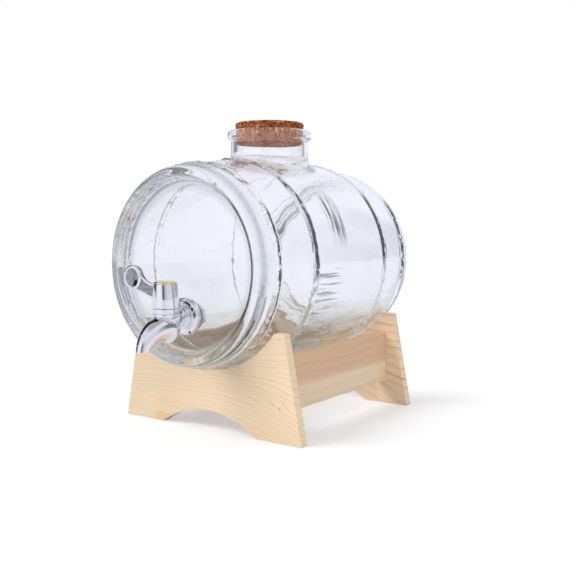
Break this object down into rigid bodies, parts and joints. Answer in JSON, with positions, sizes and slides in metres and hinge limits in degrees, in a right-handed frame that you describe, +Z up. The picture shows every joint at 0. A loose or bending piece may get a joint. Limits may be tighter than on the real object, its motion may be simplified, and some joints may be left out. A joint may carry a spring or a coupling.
{
  "type": "glass barrel drink dispenser",
  "caption": "Clear glass barrel lying on a wooden cradle stand, with a cork stopper in its top neck and a chromed lever tap low in its front head.",
  "frame": {"origin": "on the floor under the middle of the overall box, which is 24.3 mm in front of the barrel's middle", "axes": "+Z up, -Y towards the tap, so the barrel lies along Y; +X to the right when facing the tap"},
  "size_m": [0.184, 0.2696, 0.2506],
  "materials": {
    "clear_glass": "clear moulded glass with hammered hoops",
    "cork": "agglomerated cork, unvarnished",
    "chrome": "polished chrome plating",
    "silicone": "translucent white silicone",
    "steel": "turned stainless steel",
    "nylon": "natural nylon",
    "seal_rubber": "black nitrile rubber",
    "gold": "bright gold-coloured plating",
    "pine": "planed pine, unvarnished",
    "rail_pine": "planed pine, unvarnished, slightly darker",
    "nail_steel": "bright wire nail"
  },
  "bodies": {
    "stand": {"front_board": "pine", "back_board": "pine", "left_rail": "rail_pine", "right_rail": "rail_pine", "front_nails": "nail_steel", "back_nails": "nail_steel"},
    "barrel": {"glass_barrel": "clear_glass", "tap_body": "chrome", "escutcheon": "chrome", "outer_gasket": "silicone", "inner_gasket": "silicone", "inner_washer": "steel", "lock_nut": "chrome", "bonnet_ring": "chrome"},
    "stopper": {"cork_stopper": "cork"},
    "handle": {"tap_handle": "chrome", "handle_cap": "gold", "handle_screw": "steel", "valve_plug": "steel", "plug_seal_rings": "seal_rubber", "thrust_washer": "nylon"}
  },
  "joints": [
    {"name": "barrel_lift", "type": "slide", "parent": "stand", "child": "barrel", "axis": [0, 0, 1], "range_m": [0, 0.06]},
    {"name": "stopper_pull", "type": "slide", "parent": "barrel", "child": "stopper", "axis": [0, 0, 1], "range_m": [0, 0.045]},
    {"name": "handle_turn", "type": "hinge", "parent": "barrel", "child": "handle", "pos_m": [0, -0.10488, 0.11], "axis": [0, 0, 1], "range_deg": [0, 90]}
  ]
}
